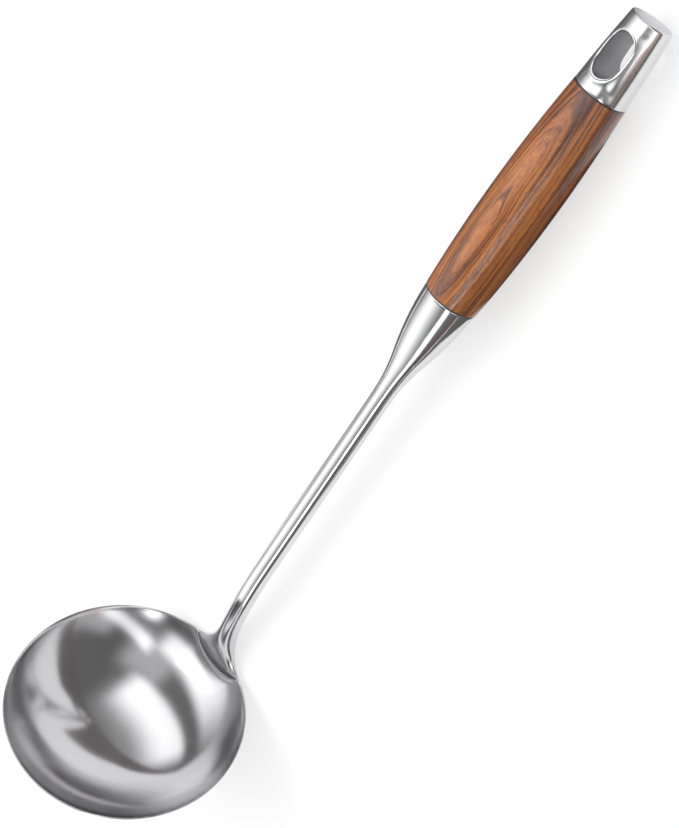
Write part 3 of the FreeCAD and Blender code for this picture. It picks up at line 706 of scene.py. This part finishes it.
# The slot's outline has as many corners as the window's border, and they start at the window's low
# corner on the +Y side. These are the directions of the ones on its two round ends; the window's own
# corners, 0, 8, 14 and 22, go half way round a quarter. The others are on the straight sides.
SLOT_CORNERS = 2 * (WINDOW_ACROSS + WINDOW_ALONG)
SLOT_ARCS = {
    0: -45, 1: -18, 7: 18, 8: 45, 9: 60, 10: 75, 11: 90, 12: 105, 13: 120, 14: 135, 15: 162,
    21: 198, 22: 225, 23: 240, 24: 255, 25: 270, 26: 285, 27: 300,
}


def slot_point(number, widen):
    """Place on the slot's outline, widened by a distance: across the cap and along it."""
    low, high, half = SLOT_LOW + SLOT_HALF, SLOT_HIGH - SLOT_HALF, SLOT_HALF + widen
    if number in SLOT_ARCS:
        turn = SLOT_ARCS[number]
        return half * cosine(turn), (high if 0 < turn < 180 else low) + half * sine(turn)
    if number < 8:
        return half, low + (high - low) * (number - 1) / 6
    return -half, high - (high - low) * (number - 15) / 6


def slot_ring(widen, drop, face):
    """Ring of the slot, so far under the cap's upper or lower face (1 or -1), or half way (0)."""
    ring = []
    for number in range(SLOT_CORNERS):
        across, along = slot_point(number, widen)
        radius = cap_radius(along) * CAP_GROWTH
        rise = face * (math.sqrt(radius**2 - across**2) - drop)
        turn = math.degrees(math.atan2(across, rise))
        ring.append(cap.verts.new(on_cap(along, math.hypot(across, rise), turn)))
    return ring


# From the border of each window over the soft lip and down the slot's wall to the middle.
LIP = [(2.0, 0), (1.05, 0.02), (0.3, 0.42), (0, 1.3), (0, 4.5)]
middle_loop = None
for near, far, face in ((WINDOW_ACROSS, 0, 1), (HALF, HALF + WINDOW_ACROSS, -1)):
    # The border goes from the low corner on the +Y side along the cap, across, back and across.
    previous = [rings[FIRST_ROW + step][near] for step in range(WINDOW_ALONG + 1)]
    previous += [rings[LAST_ROW][near - face * step] for step in range(1, WINDOW_ACROSS + 1)]
    previous += [rings[LAST_ROW - step][far] for step in range(1, WINDOW_ALONG + 1)]
    previous += [rings[FIRST_ROW][far + face * step] for step in range(1, WINDOW_ACROSS)]
    for widen, drop in LIP:
        loop = slot_ring(widen, drop, face)
        strip(cap, previous, loop)
        previous = loop
    middle_loop = middle_loop or slot_ring(0, 0, 0)
    strip(cap, previous, middle_loop)
bmesh.ops.recalc_face_normals(cap, faces=cap.faces)
end_cap = settle("cap", cap, 3)
# The flat end face is matt, and the walls of the slot take the darker steel, painted shade for the recess:
# what is sunk well under the cap's round, between the two ends of the slot.
END_FACE_RUN = 0.12
END_FACE_EDGE = 0.5
SLOT_SUNK = 0.9
SLOT_SPAN = (3, 27)
for face in end_cap.data.polygons:
    spot = face.center - CAP_BASE
    along = spot.dot(HANDLE_AXIS)
    reach = math.hypot(spot.dot(HANDLE_UP), spot.y)
    if along > CAP_RUN - END_FACE_RUN and reach < cap_radius(CAP_RUN) - END_FACE_EDGE:
        face.material_index = 1
    elif cap_radius(along) - reach > SLOT_SUNK and SLOT_SPAN[0] < along < SLOT_SPAN[1]:
        face.material_index = 2
finish(end_cap, "end_cap", "cap_steel", cap_steel, matt_steel, slot_painted_shade_steel)

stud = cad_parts["tang_stud"]
stud.data.materials.clear()
stud.data.materials.append(matt_steel)

camera_data = bpy.data.cameras.new("camera")
camera = add_object("camera", camera_data)
camera.location = (0.34017, -0.2915, 0.59415)
camera.rotation_euler = Euler([math.radians(turn) for turn in (-5.6886, 38.0224, -50.4643)], "XYZ")
camera_data.sensor_width = 36
camera_data.lens = 82.61
bpy.context.scene.camera = camera

# The floor is white paper, which glows for the eye and in mirrors, and only takes light otherwise.
PAPER = (0.42, 0.42, 0.42)
PAPER_GLOW = 0.61
bpy.ops.mesh.primitive_plane_add(size=6, location=(0, 0, 0))
floor = bpy.context.object
floor.name = "floor"
paper = bpy.data.materials.new("paper")
tree = Tree(paper)
tree.tree.nodes.clear()
matt = tree.add("ShaderNodeBsdfDiffuse")
tree.put(matt.inputs["Color"], PAPER)
seen = tree.add("ShaderNodeLightPath").outputs
direct = tree.plus(seen["Is Camera Ray"], seen["Is Glossy Ray"], seen["Is Transmission Ray"])
glow = tree.add("ShaderNodeEmission")
tree.put(glow.inputs["Strength"], tree.times(tree.math("MINIMUM", direct, 1.0), PAPER_GLOW))
both = tree.add("ShaderNodeAddShader")
tree.put(both.inputs[0], matt.outputs[0])
tree.put(both.inputs[1], glow.outputs[0])
tree.put(tree.add("ShaderNodeOutputMaterial").inputs[0], both.outputs[0])
floor.data.materials.append(paper)

# A dark flag, which only the steel's reflections see: sheets just over the floor, on the handle's +Y
# side, beyond the cap, on the -Y side, aslant under the grip, and behind the bowl.
FLAG_HEIGHT = 0.0003
SHEETS = [
    [(-0.09, 0.012), (0.22, 0.012), (0.22, 0.8), (0.1, 0.8), (-0.03, 0.1)],
    [(0.22, -3), (3, -3), (3, 3), (0.22, 3)],
    [(-0.05, -0.055), (-0.12, -0.11), (-0.12, -0.8), (0.22, -0.8), (0.22, -0.055)],
    [(0.0135, -0.055), (0.0906, -0.055), (0.171, 0.012), (0.094, 0.012)],
    [(-3, -3), (-0.36, -3), (-0.36, 3), (-3, 3)],
]
corners, sheets = [], []
for sheet in SHEETS:
    sheets.append(tuple(range(len(corners), len(corners) + len(sheet))))
    corners += [(x, y, FLAG_HEIGHT) for x, y in sheet]
flag_mesh = bpy.data.meshes.new("flag")
flag_mesh.from_pydata(corners, [], sheets)
flag = add_object("flag", flag_mesh)
flag.visible_camera = flag.visible_diffuse = flag.visible_shadow = flag.visible_transmission = False
cloth = material("black_cloth", Base_Color=(0.12, 0.108, 0.107), Roughness=0.9)[0]
flag_mesh.materials.append(cloth)

# The studio: soft boxes and dark gaps laid out round the point straight overhead. Each is a glow
# between soft edges; an edge has the direction it faces, in degrees from +X towards +Y, and goes
# from dark to full between two distances from overhead, also in degrees. A glow below zero takes
# light away, and the room is nowhere darker than DARKEST.
GLOWS = [
    (1.5, (110, -24, 43), (-90, -90, -20), (0, -70, -50), (180, -20, -10)),
    (1.2, (0, -11, -4), (180, -16, -5), (90, -27, -14), (-90, -45, 0)),
    (-1.0, (0, -25, -19), (180, 8, 14), (90, -34, -10), (-90, -36, -18)),
    (4.0, (-90, 29, 40), (90, -52, -38), (0, -70, -50), (180, 5, 16)),
    (1.4, (7, 33, 41), (187, -79, -48), (90, -28, -8), (-90, -85, -60)),
    (1.3, (-20, 15, 20), (160, -31, -26), (-90, 20, 32), (90, -85, -68)),
    (0.45, (0, -5, 12), (180, -50, -30), (90, -50, -30), (-90, -10, 10)),
    (0.3, (0, 35, 60), (180, -105, -65), (90, -40, -10), (-90, -90, -50)),
    (0.4, (0, -12, 0), (180, -30, -15), (90, -100, -85), (-90, 55, 68)),
    (-0.09, (180, 50, 70)),
]
ROOM_LIGHT = 0.175
DARKEST = 0.1
room = bpy.data.worlds.new("room")
bpy.context.scene.world = room
tree = Tree(room)
x, y, z = tree.split(tree.add("ShaderNodeTexCoord").outputs["Generated"])
level = tree.math("SQRT", tree.plus(tree.times(x, x), tree.times(y, y), 0.000001))
spread = tree.math("DIVIDE", tree.times(tree.math("ARCCOSINE", z), 180 / math.pi), level)
u = tree.times(x, spread)
v = tree.times(y, spread)
light = ROOM_LIGHT
for strength, *borders in GLOWS:
    glow = strength
    for facing, dark, full in borders:
        across = tree.weigh((u, cosine(facing)), (v, sine(facing)))
        glow = tree.times(tree.step(across, dark, full), glow)
    light = tree.plus(light, glow)
background = tree.tree.nodes["Background"]
tree.put(background.inputs["Strength"], tree.math("MAXIMUM", light, DARKEST))
# Low on the -Y side the room is warm.
warm = tree.times(tree.step(v, -48, -62), tree.step(u, 10, -2), tree.step(z, 0.3, 0.15))
tree.put(background.inputs["Color"], tree.mix(warm, (1.0, 1.0, 1.0), (1.0, 0.74, 0.69)))

# An overhead lamp for the wood and the floor; the steel mirrors the studio alone.
LAMP_AIM = Vector((0.05, 0, 0))
lamp_data = bpy.data.lights.new("overhead", "AREA")
lamp_data.energy = 3.2
lamp_data.shape = "RECTANGLE"
lamp_data.size = 0.9
lamp_data.size_y = 0.5
lamp = add_object("overhead", lamp_data)
lamp.location = (-0.15, 0.55, 0.9)
lamp.rotation_euler = (LAMP_AIM - lamp.location).to_track_quat("-Z", "Y").to_euler()
lamp.visible_glossy = False

bpy.context.scene.view_settings.view_transform = "Standard"
